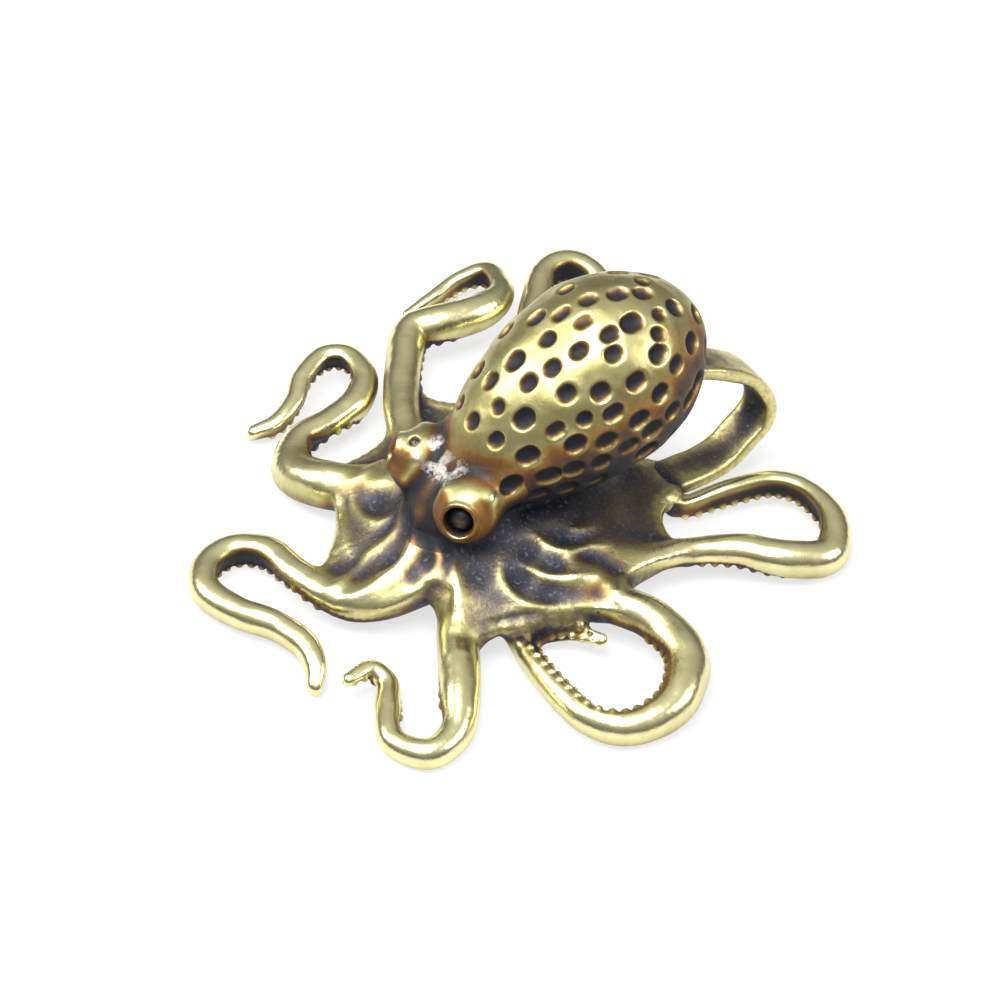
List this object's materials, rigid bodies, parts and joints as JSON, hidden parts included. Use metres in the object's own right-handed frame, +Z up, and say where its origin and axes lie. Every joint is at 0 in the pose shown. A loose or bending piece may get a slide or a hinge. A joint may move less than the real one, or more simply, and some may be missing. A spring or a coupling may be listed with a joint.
{
  "type": "octopus figurine",
  "caption": "Cast brass octopus with a pitted egg-shaped mantle, curled arms to stand on and a flat hanging loop behind.",
  "frame": {"origin": "on the ground, under the middle of the footprint", "axes": "+Z up, head looks towards -Y, +X is the animal's own left and the longest side"},
  "size_m": [0.0472, 0.043, 0.0195],
  "materials": {
    "bright_brass": "cast and polished, with dark patina left in the hollows",
    "aged_brass": "cast skin, dark and grainy, worn bright on its ridges",
    "rough_brass": "rough cast skin, mottled",
    "dark_patina": "blackened"
  },
  "bodies": {
    "root": {"arm_front_left": "bright_brass", "arm_front_right": "bright_brass", "arm_left_front": "bright_brass", "arm_left_rear": "bright_brass", "arm_rear_left": "bright_brass", "arm_rear_right": "bright_brass", "arm_right_front": "bright_brass", "arm_right_rear": "bright_brass", "hanging_loop": "rough_brass", "head": "bright_brass", "left_pupil": "dark_patina", "mantle": "bright_brass", "right_pupil": "dark_patina", "web": "aged_brass"}
  },
  "joints": []
}
